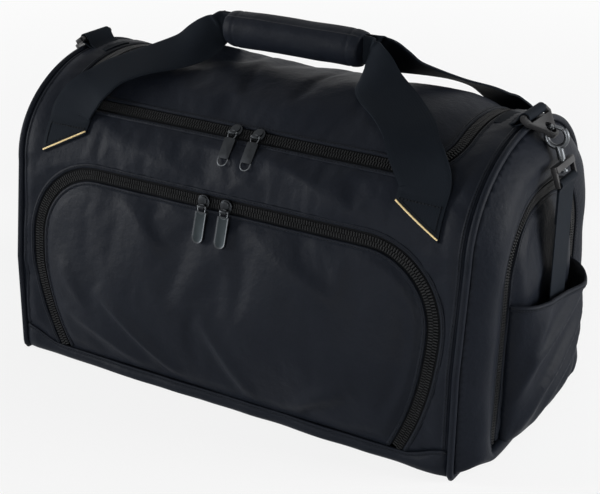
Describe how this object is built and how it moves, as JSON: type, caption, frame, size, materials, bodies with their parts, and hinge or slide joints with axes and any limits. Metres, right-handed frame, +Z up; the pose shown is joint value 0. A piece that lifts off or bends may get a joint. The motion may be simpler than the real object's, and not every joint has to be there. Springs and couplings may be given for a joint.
{
  "type": "holdall bag",
  "caption": "Padded black nylon holdall for drum gear with a zipped hinged lid, an arched front pocket, end pockets, paired webbing handles and a stowed shoulder strap.",
  "frame": {"origin": "middle of the flat base, on the floor", "axes": "+X along the length towards the slip pocket, -Y towards the front pocket, +Z up"},
  "size_m": [0.591, 0.3058, 0.3755],
  "materials": {
    "nylon": "fine woven black nylon, slight sheen",
    "padding": "padded black nylon",
    "lining": "thin dark grey lining",
    "board": "black polypropylene board",
    "webbing": "ribbed black webbing",
    "coil": "black nylon coil on woven tape",
    "gunmetal": "gunmetal plate, satin",
    "moulding": "moulded black acetal",
    "gold_thread": "pale gold stitched cord"
  },
  "bodies": {
    "bag": {"base_tray": "nylon", "base_board": "board", "front_panel": "nylon", "rear_panel": "nylon", "left_top_panel": "nylon", "right_top_panel": "nylon", "left_end_panel": "padding", "right_end_panel": "padding", "left_piping": "nylon", "right_piping": "nylon", "lid_welt": "nylon", "main_zip_body": "coil", "front_liner": "lining", "front_zip_frame": "coil", "right_liner": "lining", "right_zip_frame": "coil", "right_pocket_panel": "nylon", "right_zip_flap": "coil", "left_liner": "lining", "left_zip_frame": "coil", "slip_pocket": "nylon", "strap_fold": "webbing", "stowed_hook": "moulding", "front_anchors": "webbing", "front_gold_trim": "gold_thread", "rear_anchors": "webbing", "rear_gold_trim": "gold_thread", "left_tab": "webbing", "right_tab": "webbing"},
    "lid": {"lid_panel": "nylon", "main_zip_lid": "coil"},
    "front_flap": {"front_pocket_panel": "nylon", "front_zip_flap": "coil"},
    "left_flap": {"left_pocket_panel": "nylon", "left_zip_flap": "coil"},
    "front_handle": {"front_handle": "webbing", "front_grip_pad": "padding"},
    "rear_handle": {"rear_handle": "webbing", "rear_grip_pad": "padding"},
    "strap": {"strap_swivel": "moulding", "strap_run": "webbing"},
    "main_slider_left": {"main_slider_left": "gunmetal"},
    "main_slider_right": {"main_slider_right": "gunmetal"},
    "main_puller_left": {"main_puller_left": "gunmetal"},
    "main_puller_right": {"main_puller_right": "gunmetal"},
    "front_slider_left": {"front_slider_left": "gunmetal"},
    "front_slider_right": {"front_slider_right": "gunmetal"},
    "front_puller_left": {"front_puller_left": "gunmetal"},
    "front_puller_right": {"front_puller_right": "gunmetal"},
    "right_slider": {"right_slider": "gunmetal"},
    "right_puller": {"right_puller": "gunmetal"},
    "left_slider": {"left_slider": "gunmetal"},
    "left_puller": {"left_puller": "gunmetal"},
    "left_ring": {"left_ring": "moulding"},
    "right_ring": {"right_ring": "moulding"},
    "hook": {"hook": "moulding"},
    "hook_gate": {"hook_gate": "moulding"}
  },
  "joints": [
    {"name": "lid_hinge", "type": "hinge", "parent": "bag", "child": "lid", "pos_m": [0, 0.08, 0.28975], "axis": [-1, 0, 0], "range_deg": [0, 76]},
    {"name": "front_handle_drop", "type": "hinge", "parent": "bag", "child": "front_handle", "pos_m": [0, -0.11279, 0.266], "axis": [1, 0, 0], "range_deg": [0, 136.8]},
    {"name": "rear_handle_drop", "type": "hinge", "parent": "bag", "child": "rear_handle", "pos_m": [0, 0.11279, 0.266], "axis": [-1, 0, 0], "range_deg": [0, 136.8]},
    {"name": "front_flap_fold", "type": "hinge", "parent": "bag", "child": "front_flap", "pos_m": [0, -0.142, 0.018], "axis": [1, 0, 0], "range_deg": [0, 85]},
    {"name": "left_flap_fold", "type": "hinge", "parent": "bag", "child": "left_flap", "pos_m": [-0.275, 0, 0.018], "axis": [0, -1, 0], "range_deg": [0, 80]},
    {"name": "main_slider_left_run", "type": "slide", "parent": "lid", "child": "main_slider_left", "axis": [-1, 0, 0], "range_m": [0, 0.13]},
    {"name": "main_puller_left_swing", "type": "hinge", "parent": "main_slider_left", "child": "main_puller_left", "pos_m": [-0.009, -0.10219, 0.2828], "axis": [-1, 0, 0], "range_deg": [0, 120]},
    {"name": "front_slider_left_run", "type": "slide", "parent": "front_flap", "child": "front_slider_left", "axis": [-1, 0, 0], "range_m": [0, 0.13]},
    {"name": "front_puller_left_swing", "type": "hinge", "parent": "front_slider_left", "child": "front_puller_left", "pos_m": [-0.023, -0.13612, 0.21393], "axis": [-1, 0, 0], "range_deg": [0, 120]},
    {"name": "main_slider_right_run", "type": "slide", "parent": "lid", "child": "main_slider_right", "axis": [1, 0, 0], "range_m": [0, 0.13]},
    {"name": "main_puller_right_swing", "type": "hinge", "parent": "main_slider_right", "child": "main_puller_right", "pos_m": [0.017, -0.10219, 0.2828], "axis": [-1, 0, 0], "range_deg": [0, 120]},
    {"name": "front_slider_right_run", "type": "slide", "parent": "front_flap", "child": "front_slider_right", "axis": [1, 0, 0], "range_m": [0, 0.13]},
    {"name": "front_puller_right_swing", "type": "hinge", "parent": "front_slider_right", "child": "front_puller_right", "pos_m": [0.003, -0.13612, 0.21393], "axis": [-1, 0, 0], "range_deg": [0, 120]},
    {"name": "right_slider_run", "type": "slide", "parent": "bag", "child": "right_slider", "axis": [0, -0.0356, 0.9994], "range_m": [0, 0.11]},
    {"name": "right_puller_swing", "type": "hinge", "parent": "right_slider", "child": "right_puller", "pos_m": [0.281, 0.08592, 0.0616], "axis": [0, -1, 0], "range_deg": [0, 110]},
    {"name": "left_slider_run", "type": "slide", "parent": "left_flap", "child": "left_slider", "axis": [0, -0.0356, 0.9994], "range_m": [0, 0.11]},
    {"name": "left_puller_swing", "type": "hinge", "parent": "left_slider", "child": "left_puller", "pos_m": [-0.281, 0.08592, 0.0616], "axis": [0, 1, 0], "range_deg": [0, 110]},
    {"name": "left_ring_swing", "type": "hinge", "parent": "bag", "child": "left_ring", "pos_m": [-0.256, 0, 0.322], "axis": [0, 1, 0], "range_deg": [0, 120]},
    {"name": "right_ring_swing", "type": "hinge", "parent": "bag", "child": "right_ring", "pos_m": [0.256, 0, 0.322], "axis": [0, -1, 0], "range_deg": [0, 10]},
    {"name": "hook_hang", "type": "hinge", "parent": "right_ring", "child": "hook", "pos_m": [0.2728, 0, 0.3094], "axis": [0, -1, 0], "range_deg": [-10, 0]},
    {"name": "hook_gate_press", "type": "hinge", "parent": "hook", "child": "hook_gate", "pos_m": [0.28696, 0, 0.31128], "axis": [0, -1, 0], "range_deg": [0, 12], "stiffness_Nm_per_rad": 0.03},
    {"name": "strap_swivel_turn", "type": "hinge", "parent": "hook", "child": "strap", "pos_m": [0.2808, 0, 0.3034], "axis": [0.309, 0, -0.9511], "range_deg": [-5, 5]}
  ],
  "couplings": [
    {"joint": "front_handle_drop", "follows": "lid_hinge", "ratio": 1.8},
    {"joint": "rear_handle_drop", "follows": "lid_hinge", "ratio": 1.8},
    {"joint": "hook_hang", "follows": "right_ring_swing", "ratio": -1}
  ]
}
